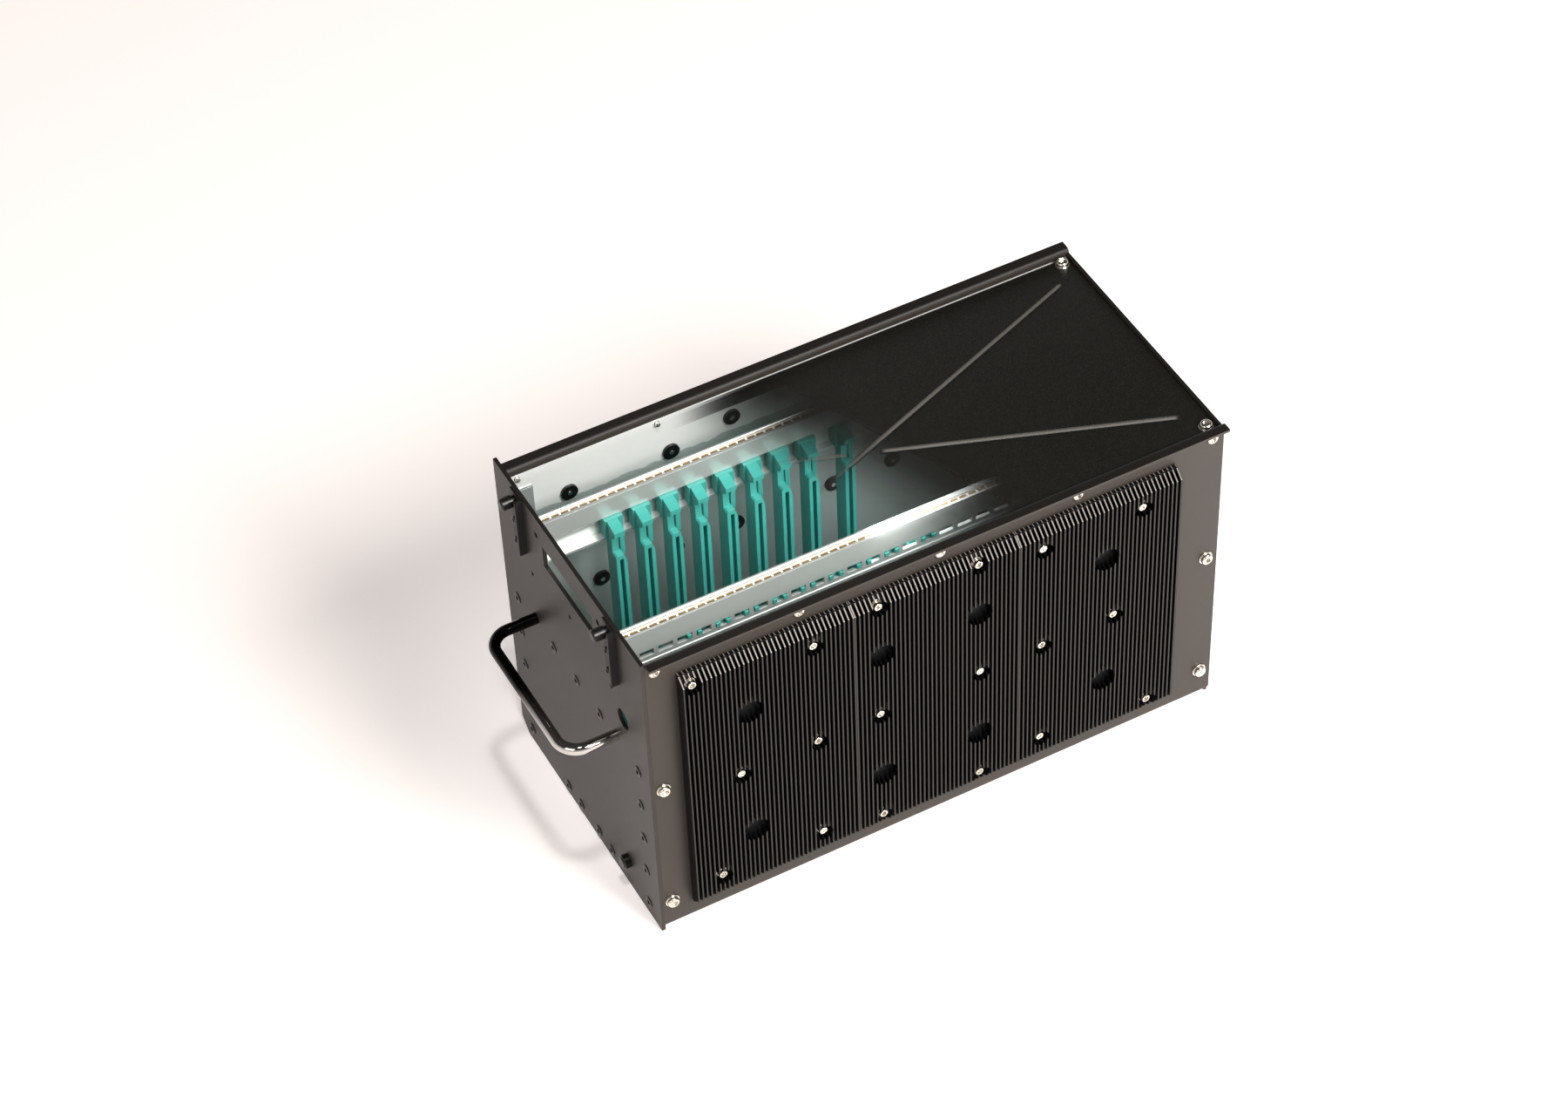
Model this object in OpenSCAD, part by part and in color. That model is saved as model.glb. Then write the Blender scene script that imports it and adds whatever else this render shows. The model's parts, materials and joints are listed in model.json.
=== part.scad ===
// Card cage case: a folded-sheet box with finned side walls, a carrying handle and an inner subrack.
// Frame: X runs along the case from the handle end, Y across it, Z up from the surface it stands on.
// The origin is the middle of the bottom cover's lower face. Millimetres.

/* [Case] */
// Length over the front panel and the rear panel
case_l = 318; // [280:1:420]
// Height from the base to the top of the wall flanges
case_h = 194; // [170:1:240]
// Clear width between the inner faces of the two side walls
inner_w = 144; // [138:1:220]
// Thickness of the side walls' sheet
wall_t = 1.5; // [1:0.1:2]
// Inner radius of the walls' bends
bend_r = 1; // [0.6:0.1:1.5]
// How far the walls' top flanges stand out
flange_w = 5; // [3.5:0.1:7]
// Height of the walls' lower edge above the base
wall_lift = 2; // [1.5:0.1:3]
// Width of the walls' bottom flanges
foot_w = 12; // [10:0.5:16]

/* [End panels] */
// Thickness of the front panel
panel_t = 2; // [1.5:0.1:3]
// How far the front panel stands out beyond the left wall
panel_over = 10.2; // [9:0.1:14]
// Thickness of the rear panel and the inner frame
end_t = 1.5; // [1.5:0.1:2]
// Width of the rear panel's and inner frame's folded flanges
end_flange = 12; // [11:0.5:14]
// Length of the window in the front panel
window_w = 53.6; // [40:0.1:56]
// Height of the window in the front panel
window_h = 13.3; // [8:0.1:14]
// Drop from the top of the panel to the middle of the window
window_drop = 21.5; // [20:0.5:23]
// Diameter of the cable hole in the front panel
cable_hole_d = 11.5; // [8:0.5:13]

/* [Covers] */
// Thickness of the top cover
cover_t = 1.5; // [1:0.1:2]
// Depth of the top cover's face below the wall flanges
cover_recess = 4; // [3:0.5:5]
// Depth of the top cover's down-turned edges
cover_edge = 10; // [9:0.5:11]
// Width of the stiffening beads
bead_w = 3; // [2:0.1:4]
// Height of the stiffening beads
bead_h = 0.8; // [0.4:0.1:1]

/* [Heat sinks] */
// Distance from the last heat sink to the case's rear end
sink_tail = 27.4; // [22:0.1:40]
// Distance from the heat sinks' ends to the case's top and base
sink_margin = 14; // [13:0.5:30]
// Thickness of the heat sink's base
sink_base = 2; // [1.5:0.1:2.5]
// Height of the fins above the base
fin_h = 4.8; // [4:0.1:5.5]
// Thickness of a fin
fin_t = 1; // [0.8:0.05:1.2]
// Number of fins on a heat sink
fin_n = 38; // [30:1:40]
// Distance from the case's handle end to the first heat sink
sink_start = 17.6; // [16:0.1:20]
// Diameter of the round pockets
pocket_d = 13.5; // [12:0.5:15]
// Diameter of the cleared space round a heat sink screw
relief_d = 9; // [8:0.5:10]

/* [Subrack] */
// Pitch of the threaded holes along the rails
hole_pitch = 5.08; // [5:0.01:5.2]
// Drop from the top of the case to the top of the rails
rail_drop = 10; // [8.5:0.5:12]
// Distance between the inner faces of the two upper rails
rail_gap = 80; // [70:1:84]
// Thickness of a rail's head
rail_w = 6.5; // [6:0.1:7.5]
// Height of a rail
rail_h = 26.4; // [25:0.1:28]
// Height of a rail's head
rail_head = 11.6; // [11:0.1:12.5]
// Distance from the rail's end to its first slot
slot_start = 12.1; // [10:0.1:14]
// Width of a card guide's channel body
guide_w = 5.8; // [5:0.1:6.4]
// Depth of a card guide's channel body
guide_d = 10; // [9:0.1:11.5]
// Width of the card groove
groove_w = 2; // [1.6:0.1:2.4]
// Depth of the card groove
groove_d = 5; // [3:0.1:6]

/* [Handle] */
// Diameter of the handle's bar
handle_d = 6; // [5:0.5:8]
// Distance between the handle's feet
handle_pitch = 88; // [80:1:96]
// Reach of the bar's middle line from the panel
handle_reach = 27; // [24:1:34]
// Bend radius of the bar's middle line
handle_bend = 11; // [8:1:14]
// Drop from the top of the case to the handle
handle_drop = 81; // [75:1:95]

/* [Fasteners] */
// Diameter of the case screws
screw_d = 3.4; // [3:0.1:3.6]
// Diameter of the case screws' heads
head_d = 6.4; // [6:0.1:6.8]
// Height of the case screws' heads
head_h = 2.2; // [1.6:0.1:2.6]
// Diameter of the heat sink screws
small_d = 2.5; // [2.2:0.1:3]
// Diameter of the heat sink screws' heads
small_head = 4.4; // [4:0.1:5]
// Thickness of every washer
washer_t = 0.6; // [0.4:0.1:0.8]
// Radial clearance of a screw in its hole
play = 0.2; // [0.1:0.05:0.3]

/* [Hidden] */
$fn = 48;

// Gap between neighbouring sheet edges, and how far cutting bodies run past a face
gap = 0.3;
past = 1;

// Planes of the case
mid_x = case_l / 2;
mid_z = case_h / 2;
half_in = inner_w / 2;
half_out = half_in + wall_t;
panel_w = inner_w + 2 * wall_t + panel_over;
panel_mid = panel_w / 2 - half_out;
panel_in = panel_t - mid_x;
frame_in = panel_in + end_t;
rear_in = mid_x - end_t;
wall_l = case_l - panel_t;
bend_out = bend_r + wall_t;
floor_z = wall_lift + wall_t;
straight_z = wall_lift + bend_out;
cover_top = case_h - cover_recess;
cover_low = cover_top - cover_t;

// Cover, and the tabs and shoulders of the end panels that fit under it
cover_half = half_in - gap / 2;
cover_start = panel_in + gap;
cover_end = rear_in - gap;
shoulder_z = cover_top - cover_edge - gap;
tab_w = 14;
tab_out = cover_half - cover_t - gap;
bead_end_x = 18;
bead_end_y = 17;
bead_gap = 9;

// Places of the case screws
screw_inset = 6.7;
edge_drop = 3;
column_low = 20;
corner_in = 4.5;
screw_x = mid_x - screw_inset;
edge_z = cover_top - edge_drop;
column_z = [column_low, (column_low + edge_z) / 2];
edge_x = [-screw_x, -screw_x / 2, 0, screw_x / 2, screw_x];
corner_y = half_in - corner_in;

// Shapes and lengths of the screws, washers and nuts
head_side = 0.6;
head_crown = 0.72;
socket_share = 0.48;
flush_socket = 0.4;
flush_socket_h = 0.9;
washer_rim = 0.6;
small_rim = 0.8;
washer_d = head_d + 2 * washer_rim;
small_washer = small_head + 2 * small_rim;
cover_screw_l = 7;
edge_head = 6.2;
edge_head_h = 1.6;
edge_screw_l = wall_t + gap + cover_t;
wall_screw_l = wall_t + washer_t + cover_t + gap;
handle_screw_l = 7;
sink_screw_l = 6;
flush_d = 3;
flush_head = 6;
bottom_head = 5;
nut_d = 9;
nut_t = 1.5;

// Front panel's screws: columns from the side edges, a middle row and a foot row
column_edge = 12.8;
panel_low = 9.2;
panel_rows = 5;
bar_drop = 84.6;
bar_rise = 1.8;
bar_z = case_h - bar_drop;
panel_step = (bar_z - bar_rise - panel_low) / (panel_rows - 1);
bar_row = 25.3;
foot_z = 6.2;
foot_row = [-24.5, -10, 10, 24.5];

// Other holes of the front panel, from its middle line
cable_side = 53.2;
cable_drop = 61;
cable_y = panel_mid - cable_side;
cable_z = case_h - cable_drop;
window_z = case_h - window_drop;
plate_hole_d = 3.5;
plate_hole_y = 32.9;
plate_hole_z = case_h - 12.3;
pilot_d = 2.5;
pilot_places = [[42.8, case_h - 48.2], [0.7, case_h - 40.1], [-42.1, case_h - 48.2]];
relief_w = 10;

// Bays of the inner frame
bay_half = 50;
bay_low = 18;
bay_wide_low = 40;
bar_w = 20;
cable_bay_right = 61;
cable_bay_left = 55;
cable_bay = [panel_mid - cable_bay_right, panel_mid + cable_bay_left];
cable_bay_top = case_h - 40;
window_bay = 35;
window_bay_top = cover_low - 8;

// Stud and corner brackets of the front panel
stud_y = panel_mid - 44.5;
stud_z = 19.2;
stud_d = 7.5;
stud_l = 3.2;
stud_tip = 1;
lock_t = 1;
lock_w = 12;
lock_h = 36;
lock_top = case_h - 1;
lock_leg = 4;
lock_leg_t = 1.6;
lock_edge = [26, 32.4];
lock_y = [lock_edge[0] - half_out, panel_w - half_out - lock_edge[1]];
lock_mid = 7.5;
lock_screw_drop = 19.5;
lock_screw_step = 14;
lock_screw_z = [case_h - lock_screw_drop - lock_screw_step, case_h - lock_screw_drop];
lock_screw_h = 1.6;
knob_drop = 6;
knob_z = case_h - knob_drop;
knob_pin = 3;
knob_neck = [5, 1.5];
knob_body = [6.5, 5.5];
knob_tip = 0.8;

// Handle's height and blind holes
handle_z = case_h - handle_drop;
handle_bore = 8;

// Bottom cover and its screws
bottom_inset = 2;
bottom_end = 25;
bottom_in = 5;
bottom_half = half_in - bottom_inset;
bottom_x = [for (i = [-2:2]) i * (mid_x - bottom_end) / 2];
bottom_y = half_in - foot_w + bottom_in;

// Heat sinks
sink_w = (case_l - sink_start - sink_tail) / 3;
sink_h = case_h - 2 * sink_margin;
sink_d = sink_base + fin_h;
fin_pitch = (sink_w - fin_t) / (fin_n - 1);
fin_slope = 5;
fin_foot = 0.8;

// Rails: head, web, lip, grip ribs and slots
rail_top = case_h - rail_drop;
rail_in = rail_gap / 2;
rail_out = rail_in + rail_w;
rail_l = rear_in - frame_in;
rail_under = rail_top - rail_head;
rail_foot = rail_top - rail_h;
web_t = 1.8;
lip_t = 1.5;
rib = 0.5;
rib_low = 2;
rib_high = 6;
slot_w = 7.8;
slot_h = 3.9;
slot_drop = 1.5;
slot_z = rail_under - slot_drop - slot_h / 2;
slot_pitch = 2 * hole_pitch;
slot_n = floor((rail_l - 2 * slot_start) / slot_pitch) + 1;
rail_bore_u = rail_in + 3;
rail_bore_z = rail_top - 8.2;
rail_bore_l = 12;
rail_grip = 9;

// Threaded strips
strip_w = 3.8;
strip_t = 1.8;
strip_skin = 1;
strip_lip = 0.5;
strip_hole = 2.1;
strip_shift = 0.4;
strip_mid = rail_in + rail_w / 2 + strip_shift;
strip_low = rail_top - strip_skin - strip_t;
strip_start = frame_in + slot_start - 2 * hole_pitch;
strip_n = floor((rear_in - hole_pitch - strip_start) / hole_pitch) + 1;

// Card guides: channel, neck and clips with a head, a spring arm and hooks
guide_n = 9;
guide_step = 3;
guide_skip = 1;
guide_first = frame_in + slot_start + 5 * hole_pitch;
guide_head = 9.6;
guide_top = rail_under - gap;
guide_low = rail_foot + lip_t + gap;
guide_face = rail_in - guide_d;
guide_shift = -0.9;
guide_half = guide_top - mid_z - 18.4;
shoulder_w = 1.5;
shoulder_h = 5;
corner_cut = 0.8;
groove_end = 2.8;
neck_w = 3.4;
neck_in = 4;
clip_h = 8;
clip_slope = 2.2;
clip_tip = 3;
clip_cut = 3;
arm_w = 2.4;
arm_t = 2.2;
arm_l = 26;
hook_w = 2;
hook_h = 2.4;
hook_out = 0.8;
hook_x = slot_w / 2 - gap / 2 - hook_w / 2;

// Places of the screws and pockets on each heat sink, in shares of its width and height from its middle.
sink_screws = [
    [[-0.437, 0.458], [0.266, 0.41], [-0.187, 0], [0.275, 0], [-0.33, -0.41], [0.286, -0.41]],
    [[-0.346, 0.458], [0.258, 0.458], [-0.346, 0], [0.268, 0], [-0.338, -0.452], [0.268, -0.452]],
    [[-0.348, 0.41], [0.268, 0.41], [-0.348, 0], [0.105, 0], [-0.348, -0.41], [0.346, -0.452]],
];
sink_pockets = [
    [[-0.122, 0.26], [-0.122, -0.26]],
    [[-0.337, 0.26], [0.258, 0.26], [-0.337, -0.26], [0.258, -0.26]],
    [[0.045, 0.262], [0.045, -0.262]],
];

function sink_place(place) = [place[0] * sink_w, place[1] * sink_h, 0];
function sink_x(i) = -mid_x + sink_start + (i + 0.5) * sink_w;
function guide_x(i) = guide_first + (i * guide_step + (i == guide_n - 1 ? guide_skip : 0)) * hole_pitch;

// ---- placing helpers ----

// Turns +Z outwards through the side wall: side 1 is the left wall, side -1 the right wall.
module outwards(side) {
    rotate([side * -90, 0, 0])
        children();
}

// Repeats its children on both side walls' signs, mirrored across the case.
module on_side(side) {
    if (side > 0)
        children();
    else
        mirror([0, 1, 0])
            children();
}

// Lays a Y-Z profile along X from x0, with the profile's first axis on Y.
module along_x(x0, length) {
    translate([x0, 0, 0])
        rotate([90, 0, 90])
            linear_extrude(length)
                children();
}

// Cuts a hole along X through a panel that starts at x0.
module hole_x(x0, thick, d, y, z) {
    translate([x0 - past, y, z])
        rotate([0, 90, 0])
            cylinder(h = thick + 2 * past, d = d);
}

// ---- fasteners ----

// Pan head screw with a hexagon socket, seated at z = 0, its shank pointing down.
module pan_screw(d, head, high, length) {
    side = high * head_side;
    difference() {
        union() {
            cylinder(h = side, d = head);
            translate([0, 0, side])
                cylinder(h = high - side, d1 = head, d2 = head * head_crown);
            translate([0, 0, -length])
                cylinder(h = length, d = d);
        }
        translate([0, 0, high - side])
            cylinder(h = high, d = head * socket_share, $fn = 6);
    }
}

// Countersunk screw with its face at z = 0 and its shank pointing down.
module flush_screw(d, head, length) {
    deep = (head - d) / 2;
    difference() {
        union() {
            translate([0, 0, -deep])
                cylinder(h = deep, d1 = d, d2 = head);
            translate([0, 0, -length])
                cylinder(h = length, d = d);
        }
        translate([0, 0, -flush_socket_h])
            cylinder(h = flush_socket_h + past, d = head * flush_socket, $fn = 6);
    }
}

// Countersink with clearance for flush_screw, its mouth at z = 0.
module flush_hole(d, head, length) {
    deep = (head - d) / 2;
    translate([0, 0, -deep])
        cylinder(h = deep, d1 = d + 2 * play, d2 = head + 2 * play);
    translate([0, 0, -length - past])
        cylinder(h = length + 2 * past, d = d + 2 * play);
}

module washer(outer, bore) {
    difference() {
        cylinder(h = washer_t, d = outer);
        translate([0, 0, -past])
            cylinder(h = washer_t + 2 * past, d = bore + 2 * play);
    }
}

// ---- side walls ----

// Section of a wall: the first axis runs outwards from the wall's inner face, the second is Z.
module wall_section() {
    top_z = case_h - bend_out;
    translate([0, straight_z])
        square([wall_t, top_z - straight_z]);
    translate([bend_out, case_h - wall_t])
        square([flange_w - bend_r, wall_t]);
    translate([bend_out, top_z])
        bend_corner(90);
    translate([-bend_r, straight_z])
        bend_corner(270);
    translate([-foot_w, wall_lift])
        square([foot_w - bend_r, wall_t]);
}

// Quarter ring of a bend, starting at the given angle.
module bend_corner(turn) {
    rotate(turn)
        intersection() {
            difference() {
                circle(r = bend_out);
                circle(r = bend_r);
            }
            square(bend_out);
        }
}

// Folded side wall; its bottom flange stops short of the rear panel.
module side_wall(side) {
    flip = side > 0 ? -1 : 1;
    color("#2b2927")
        difference() {
            on_side(side)
                along_x(panel_in, wall_l)
                    translate([half_in, 0])
                        wall_section();
            for (x = edge_x)
                wall_hole(side, x, edge_z, small_d);
            for (x = [-screw_x, screw_x], z = column_z)
                wall_hole(side, x, z, screw_d);
            for (i = [0:2], place = sink_screws[i])
                wall_hole(side, sink_x(i) + place[0] * sink_w, mid_z + flip * place[1] * sink_h, small_d);
            on_side(side) {
                for (x = bottom_x)
                    translate([x, bottom_y, 0])
                        cylinder(h = floor_z + past, d = flush_d + 2 * play);
                translate([rear_in - gap, half_in - foot_w - past, 0])
                    cube([end_t + gap + past, foot_w + past, straight_z]);
            }
        }
}

module wall_hole(side, x, z, d) {
    translate([x, side * (half_in - past), z])
        outwards(side)
            cylinder(h = wall_t + 2 * past, d = d + 2 * play);
}

// ---- end panels ----

// Front panel with its window, cable hole, pilot holes and fastener holes.
module front_panel() {
    color("#2b2927")
        difference() {
            translate([-mid_x, -half_out, 0])
                cube([panel_t, panel_w, case_h]);
            translate([-mid_x - past, panel_mid - window_w / 2, window_z - window_h / 2])
                cube([panel_t + 2 * past, window_w, window_h]);
            hole_x(-mid_x, panel_t, cable_hole_d, cable_y, cable_z);
            for (y = [-plate_hole_y, plate_hole_y])
                hole_x(-mid_x, panel_t, plate_hole_d, panel_mid + y, plate_hole_z);
            for (place = pilot_places)
                hole_x(-mid_x, panel_t, pilot_d, panel_mid + place[0], place[1]);
            for (place = panel_places)
                translate([-mid_x, place[0], place[1]])
                    rotate([0, -90, 0])
                        flush_hole(flush_d, flush_head, panel_t);
            for (y = lock_y, z = lock_screw_z)
                hole_x(-mid_x, panel_t, small_d + 2 * play, y + lock_mid, z);
            for (y = handle_feet)
                hole_x(-mid_x, panel_t, screw_d + 2 * play, y, handle_z);
            hole_x(-mid_x, panel_t, flush_d + 2 * play, stud_y, stud_z);
            // Relief at the foot of the overhanging side
            translate([-mid_x, panel_w - half_out, 0])
                rotate([45, 0, 0])
                    cube([2 * (panel_t + past), relief_w, relief_w], center = true);
        }
}

handle_feet = [panel_mid - handle_pitch / 2, panel_mid + handle_pitch / 2];

// Screws of the front panel: two columns, a row across the middle and a row at the foot.
panel_places = concat(
    [for (y = [column_edge - half_out, panel_w - column_edge - half_out], i = [0:panel_rows - 1])
        [y, panel_low + i * panel_step]],
    [for (i = [-1:1]) [panel_mid + i * bar_row, bar_z]],
    [for (y = foot_row) [panel_mid + y, foot_z]]
);

// Whether a panel screw reaches the inner frame: those over the left wall only hold in the panel.
function in_frame(place) = abs(place[0]) < half_in - end_t - flush_d / 2;

// Open frame folded from one sheet that backs the front panel and carries the walls and the cover.
module panel_frame() {
    color("#b9bdbc")
        difference() {
            union() {
                along_x(panel_in, end_t)
                    frame_outline();
                side_flanges(panel_in);
            }
            frame_bay([-window_bay, window_bay], bay_low, bar_z - bar_w / 2);
            frame_bay([panel_mid - bay_half, panel_mid + bay_half], bay_wide_low, bar_z - bar_w / 2);
            frame_bay(cable_bay, bar_z + bar_w / 2, cable_bay_top);
            frame_bay([-window_bay, window_bay], bar_z + bar_w / 2, window_bay_top);
            for (place = panel_places)
                if (in_frame(place))
                    hole_x(panel_in, end_t, flush_d + 2 * play, place[0], place[1]);
            for (y = [-plate_hole_y, plate_hole_y])
                hole_x(panel_in, end_t, plate_hole_d + 2 * play, panel_mid + y, plate_hole_z);
            each_rail_end(panel_in)
                rotate([0, -90, 0])
                    flush_hole(flush_d, flush_head, end_t);
            for (y = handle_feet)
                hole_x(panel_in, end_t, washer_d + 2 * play, y, handle_z);
            flange_holes(-screw_x);
        }
}

// Face of the inner frame in Y and Z: its foot passes between the walls' bottom flanges and its top
// between the cover's edges.
module frame_outline() {
    foot_y = half_in - foot_w - gap;
    polygon([
        [-foot_y, wall_lift], [foot_y, wall_lift], [foot_y, straight_z],
        [half_in, straight_z], [half_in, shoulder_z], [tab_out, shoulder_z],
        [tab_out, cover_low], [-tab_out, cover_low], [-tab_out, shoulder_z],
        [-half_in, shoulder_z], [-half_in, straight_z], [-foot_y, straight_z],
    ]);
}

module frame_bay(y, low, high) {
    translate([panel_in - past, y[0], low])
        cube([end_t + 2 * past, y[1] - y[0], high - low]);
}

// Side flanges folded along the case, from x0 on.
module side_flanges(x0) {
    for (side = [-1, 1])
        on_side(side)
            translate([x0, half_in - end_t, straight_z])
                cube([end_flange, end_t, shoulder_z - straight_z]);
}

// Screw holes in the side flanges at one end of the case.
module flange_holes(x) {
    for (side = [-1, 1], z = column_z)
        translate([x, side * (half_in - end_t - past), z])
            outwards(side)
                cylinder(h = end_t + 2 * past, d = screw_d + 2 * play);
}

// Rear panel between the walls, folded inwards along both sides and the top.
module rear_panel() {
    color("#2b2927")
        difference() {
            union() {
                translate([rear_in, -half_in, 0])
                    cube([end_t, inner_w, case_h - bend_out]);
                side_flanges(mid_x - end_flange);
                for (side = [-1, 1])
                    on_side(side)
                        translate([mid_x - end_flange, tab_out - tab_w, cover_low - end_t])
                            cube([end_flange, tab_w, end_t]);
            }
            flange_holes(screw_x);
            for (side = [-1, 1])
                translate([screw_x, side * corner_y, cover_low - end_t - past])
                    cylinder(h = end_t + 2 * past, d = screw_d + 2 * play);
            each_rail_end(rear_in - past)
                rotate([0, 90, 0])
                    cylinder(h = end_t + 2 * past, d = flush_d + 2 * play);
        }
}

// ---- covers ----

// Top cover: a shallow tray turned down along both sides, with crossed stiffening beads.
module top_cover() {
    color("#1d1c1a")
        difference() {
            union() {
                translate([cover_start, -cover_half, cover_low])
                    cube([cover_end - cover_start, 2 * cover_half, cover_t]);
                for (side = [-1, 1])
                    on_side(side)
                        translate([cover_start, cover_half - cover_t, cover_top - cover_edge])
                            cube([cover_end - cover_start, cover_t, cover_edge]);
                cover_beads();
            }
            for (side = [-1, 1], x = edge_x)
                translate([x, side * (cover_half - cover_t - past), edge_z])
                    outwards(side)
                        cylinder(h = cover_t + 2 * past, d = small_d + 2 * play);
            for (side = [-1, 1])
                translate([screw_x, side * corner_y, cover_low - past])
                    cylinder(h = cover_t + 2 * past, d = screw_d + 2 * play);
        }
}

// One diagonal bead runs through, the other is two arms that stop short of it.
module cover_beads() {
    dx = mid_x - bead_end_x;
    dy = half_in - bead_end_y;
    reach = sqrt(dx * dx + dy * dy);
    slope = atan2(dy, dx);
    bead(-reach, reach, slope);
    bead(bead_gap, reach, -slope);
    bead(-reach, -bead_gap, -slope);
}

module bead(from, to, slope) {
    translate([0, 0, cover_top])
        rotate(slope) {
            translate([from, -bead_w / 2, 0])
                cube([to - from, bead_w, bead_h]);
            for (x = [from, to])
                translate([x, 0, 0])
                    cylinder(h = bead_h, d = bead_w);
        }
}

module bottom_cover() {
    color("#2b2927")
        difference() {
            translate([cover_start, -bottom_half, 0])
                cube([cover_end - cover_start, 2 * bottom_half, wall_lift]);
            each_bottom_screw()
                flush_hole(flush_d, bottom_head, wall_lift);
        }
}

module each_bottom_screw() {
    for (side = [-1, 1], x = bottom_x)
        translate([x, side * bottom_y, 0])
            rotate([180, 0, 0])
                children();
}

// ---- heat sinks ----

// Extruded comb: the first axis is X, the second runs outwards from the wall.
module fin_comb() {
    translate([-sink_w / 2, 0])
        square([sink_w, sink_base]);
    for (i = [0:fin_n - 1])
        translate([-sink_w / 2 + i * fin_pitch, 0])
            square([fin_t, sink_d]);
}

// Heat sink with its base on z = 0 and its length on Y, pocketed for its screws.
module heat_sink_body(index) {
    difference() {
        translate([0, sink_h / 2, 0])
            rotate([90, 0, 0])
                linear_extrude(sink_h)
                    fin_comb();
        // Sloped ends of the fins
        for (end = [-1, 1])
            scale([1, end, 1])
                translate([-sink_w / 2 - past, sink_h / 2, sink_base])
                    rotate([90, 0, 90])
                        linear_extrude(sink_w + 2 * past)
                            polygon([
                                [past, 0], [-fin_foot, 0], [-fin_slope, fin_h],
                                [-fin_slope, fin_h + past], [past, fin_h + past],
                            ]);
        for (place = sink_screws[index])
            translate(sink_place(place)) {
                translate([0, 0, -past])
                    cylinder(h = sink_d + 2 * past, d = small_d + 2 * play);
                translate([0, 0, sink_base])
                    cylinder(h = fin_h + past, d = relief_d);
            }
        for (place = sink_pockets[index])
            translate(sink_place(place))
                translate([0, 0, sink_base])
                    cylinder(h = fin_h + past, d = pocket_d);
    }
}

// The left wall carries the same heat sinks turned upside down.
module on_wall(side, index) {
    translate([sink_x(index), side * half_out, mid_z])
        outwards(side)
            children();
}

module heat_sink(side, index) {
    color("#141517")
        on_wall(side, index)
            heat_sink_body(index);
}

module each_sink_screw() {
    for (side = [-1, 1], i = [0:2])
        on_wall(side, i)
            for (place = sink_screws[i])
                translate(sink_place(place))
                    children();
}

module heat_sink_screws() {
    color("#c8c6c0")
        each_sink_screw()
            translate([0, 0, sink_base + washer_t])
                pan_screw(small_d, small_head, small_d, sink_screw_l);
}

module heat_sink_washers() {
    color("#c8c6c0")
        each_sink_screw()
            translate([0, 0, sink_base])
                washer(small_washer, small_d);
}

// Round clinch nuts on the walls' inner faces.
module heat_sink_nuts() {
    color("#1b1b1b")
        each_sink_screw()
            translate([0, 0, -wall_t - nut_t])
                difference() {
                    cylinder(h = nut_t, d = nut_d);
                    translate([0, 0, -past])
                        cylinder(h = nut_t + 2 * past, d = small_d + 2 * play);
                }
}

// ---- case fasteners ----

module each_cover_screw() {
    for (side = [-1, 1])
        translate([screw_x, side * corner_y, cover_top])
            children();
}

module cover_screws() {
    color("#c8c6c0")
        each_cover_screw()
            translate([0, 0, washer_t])
                pan_screw(screw_d, head_d, head_h, cover_screw_l);
}

module cover_washers() {
    color("#c8c6c0")
        each_cover_screw()
            washer(washer_d, screw_d);
}

module each_edge_screw() {
    for (side = [-1, 1], x = edge_x)
        translate([x, side * half_out, edge_z])
            outwards(side)
                children();
}

module each_wall_screw() {
    for (side = [-1, 1], x = [-screw_x, screw_x], z = column_z)
        translate([x, side * half_out, z])
            outwards(side)
                children();
}

// Low button heads that fit under the walls' top flanges and hold the cover's edges.
module edge_screws() {
    color("#c8c6c0")
        each_edge_screw()
            pan_screw(small_d, edge_head, edge_head_h, edge_screw_l);
}

module wall_screws() {
    color("#c8c6c0")
        each_wall_screw()
            translate([0, 0, washer_t])
                pan_screw(screw_d, head_d, head_h, wall_screw_l);
}

module wall_washers() {
    color("#c8c6c0")
        each_wall_screw()
            washer(washer_d, screw_d);
}

module bottom_screws() {
    color("#1b1b1b")
        each_bottom_screw()
            flush_screw(flush_d, bottom_head, floor_z + gap);
}

// ---- handle and panel fittings ----

module handle() {
    straight = handle_reach - handle_bend;
    color("#232325")
        difference() {
            for (side = [-1, 1]) {
                foot_y = panel_mid + side * handle_pitch / 2;
                translate([-mid_x - straight, foot_y, handle_z])
                    rotate([0, 90, 0])
                        cylinder(h = straight, d = handle_d);
                translate([-mid_x - straight, foot_y - side * handle_bend, handle_z])
                    rotate([0, 0, side > 0 ? 90 : 180])
                        rotate_extrude(angle = 90)
                            translate([handle_bend, 0])
                                circle(d = handle_d);
                translate([-mid_x - handle_reach, panel_mid, handle_z])
                    rotate([side * -90, 0, 0])
                        cylinder(h = handle_pitch / 2 - handle_bend, d = handle_d);
            }
            for (y = handle_feet)
                translate([-mid_x - handle_bore, y, handle_z])
                    rotate([0, 90, 0])
                        cylinder(h = handle_bore + past, d = screw_d + 2 * play);
        }
}

module handle_screws() {
    color("#c8c6c0")
        for (y = handle_feet)
            translate([panel_in, y, handle_z])
                rotate([0, 90, 0])
                    pan_screw(screw_d, head_d, head_h, handle_screw_l);
}

module panel_screws() {
    color("#1b1b1b")
        for (place = panel_places)
            translate([-mid_x, place[0], place[1]])
                rotate([0, -90, 0])
                    flush_screw(flush_d, flush_head, in_frame(place) ? panel_t + end_t + gap : panel_t);
}

// Short round stud near the foot of the front panel.
module panel_stud() {
    color("#1b1b1b")
        translate([-mid_x, stud_y, stud_z])
            rotate([0, -90, 0]) {
                cylinder(h = stud_l, d = stud_d);
                translate([0, 0, stud_l])
                    cylinder(h = stud_tip, d1 = stud_d, d2 = stud_d - 2 * stud_tip);
                translate([0, 0, -panel_t])
                    cylinder(h = panel_t, d = flush_d);
            }
}

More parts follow.
